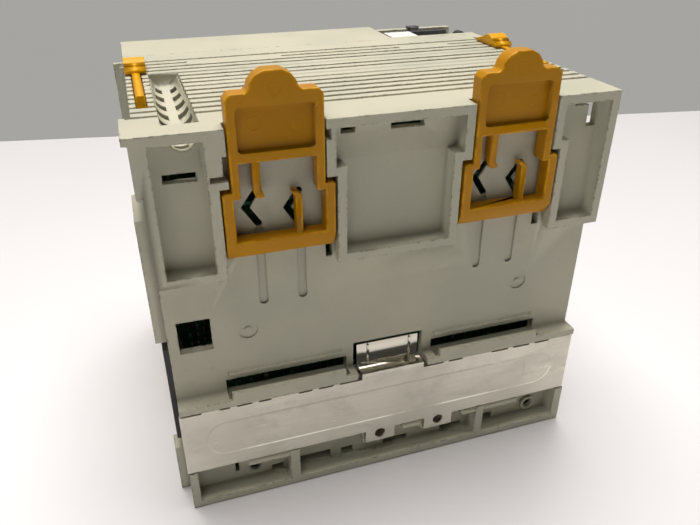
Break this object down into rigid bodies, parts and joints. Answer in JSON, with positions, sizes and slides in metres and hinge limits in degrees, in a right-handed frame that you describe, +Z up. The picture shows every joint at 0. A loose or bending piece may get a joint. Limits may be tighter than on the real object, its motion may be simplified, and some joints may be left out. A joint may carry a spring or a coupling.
{
  "type": "plc module",
  "caption": "Rail-mounted controller module with two sliding rail latches, unit-locking sliders, hinged front and port doors and a bent metal rear plate.",
  "frame": {"origin": "centre of the bounding box in X and Y, at the face the unit stands on (its mounted top)", "axes": "+X along the rail from the left end to the right end as seen from the rail side, +Y from the rail side to the front panel, +Z up as it stands, which is downwards when mounted"},
  "size_m": [0.1002, 0.0844, 0.0995],
  "materials": {
    "case_plastic": "fine moulded texture",
    "amber_plastic": "satin moulded",
    "sheet_metal": "satin with fine scratches",
    "black_plastic": "matt",
    "dark_grey_plastic": "matt",
    "white_plastic": "matt",
    "board_green": "solder mask",
    "steel": "plated",
    "sleeve_blue": "shrink sleeve",
    "battery_wrap": "wrapped cell",
    "switch_blue": "matt",
    "clear_window": "clear",
    "led_lens": "tinted lens"
  },
  "bodies": {
    "case": {"rear_case": "case_plastic", "front_cover": "case_plastic", "ground_plate": "sheet_metal", "side_gasket": "black_plastic", "bus_connector_left": "black_plastic", "bus_connector_right": "black_plastic", "bus_board": "board_green", "cpu_board": "board_green", "network_board": "board_green", "front_board": "board_green", "board_connectors": "black_plastic", "processor": "black_plastic", "heat_sink": "sheet_metal", "memory_chips": "black_plastic", "capacitors": "sleeve_blue", "pulse_transformer": "black_plastic", "board_screws": "steel", "front_door_pin": "steel", "port_door_pin": "steel", "battery_holder": "black_plastic", "battery": "battery_wrap", "card_slot": "black_plastic", "dip_switch": "switch_blue", "dial_housings": "dark_grey_plastic", "indicator_window": "clear_window", "indicator_leds": "led_lens", "digit_display": "black_plastic", "network_jack": "sheet_metal", "usb_port": "white_plastic", "serial_port": "steel", "serial_screwlocks": "black_plastic", "cable_post": "black_plastic"},
    "latch_left": {"din_latch_left": "amber_plastic"},
    "latch_right": {"din_latch_right": "amber_plastic"},
    "slider_ul": {"slider_upper_left": "amber_plastic"},
    "slider_ur": {"slider_upper_right": "amber_plastic"},
    "slider_ll": {"slider_lower_left": "amber_plastic"},
    "slider_lr": {"slider_lower_right": "amber_plastic"},
    "front_door": {"front_door": "case_plastic"},
    "port_door": {"port_door": "case_plastic", "door_catch": "dark_grey_plastic"},
    "card": {"memory_card": "dark_grey_plastic"},
    "eject": {"eject_button": "dark_grey_plastic"},
    "dip_1": {"dip_lever_1": "white_plastic"},
    "dip_2": {"dip_lever_2": "white_plastic"},
    "dip_3": {"dip_lever_3": "white_plastic"},
    "dip_4": {"dip_lever_4": "white_plastic"},
    "dial_unit": {"unit_dial": "white_plastic"},
    "dial_node": {"node_dial": "white_plastic"}
  },
  "joints": [
    {"name": "latch_left_slide", "type": "slide", "parent": "case", "child": "latch_left", "axis": [0, 0, -1], "range_m": [0, 0.006]},
    {"name": "latch_right_slide", "type": "slide", "parent": "case", "child": "latch_right", "axis": [0, 0, -1], "range_m": [0, 0.006]},
    {"name": "slider_ul_slide", "type": "slide", "parent": "case", "child": "slider_ul", "axis": [0, -1, 0], "range_m": [0, 0.0065]},
    {"name": "slider_ur_slide", "type": "slide", "parent": "case", "child": "slider_ur", "axis": [0, -1, 0], "range_m": [0, 0.0065]},
    {"name": "slider_ll_slide", "type": "slide", "parent": "case", "child": "slider_ll", "axis": [0, -1, 0], "range_m": [0, 0.0065]},
    {"name": "slider_lr_slide", "type": "slide", "parent": "case", "child": "slider_lr", "axis": [0, -1, 0], "range_m": [0, 0.0065]},
    {"name": "front_door_hinge", "type": "hinge", "parent": "case", "child": "front_door", "pos_m": [-0.00445, 0.0412, 0.05], "axis": [0, 0, 1], "range_deg": [0, 95]},
    {"name": "port_door_hinge", "type": "hinge", "parent": "case", "child": "port_door", "pos_m": [0.03715, 0.0412, 0.0514], "axis": [-1, 0, 0], "range_deg": [0, 95]},
    {"name": "card_slide", "type": "slide", "parent": "case", "child": "card", "axis": [0, 1, 0], "range_m": [0, 0.0035]},
    {"name": "eject_press", "type": "slide", "parent": "case", "child": "eject", "axis": [0, -1, 0], "range_m": [0, 0.002], "stiffness_N_per_m": 200},
    {"name": "dip_1_slide", "type": "slide", "parent": "case", "child": "dip_1", "axis": [0, 0, 1], "range_m": [0, 0.0024]},
    {"name": "dip_2_slide", "type": "slide", "parent": "case", "child": "dip_2", "axis": [0, 0, 1], "range_m": [0, 0.0024]},
    {"name": "dip_3_slide", "type": "slide", "parent": "case", "child": "dip_3", "axis": [0, 0, 1], "range_m": [0, 0.0024]},
    {"name": "dip_4_slide", "type": "slide", "parent": "case", "child": "dip_4", "axis": [0, 0, 1], "range_m": [0, 0.0024]},
    {"name": "dial_unit_turn", "type": "hinge", "parent": "case", "child": "dial_unit", "pos_m": [-0.03385, 0.03775, 0.026], "axis": [0, -1, 0], "continuous": true},
    {"name": "dial_node_turn", "type": "hinge", "parent": "case", "child": "dial_node", "pos_m": [-0.01985, 0.03775, 0.026], "axis": [0, -1, 0], "continuous": true}
  ]
}
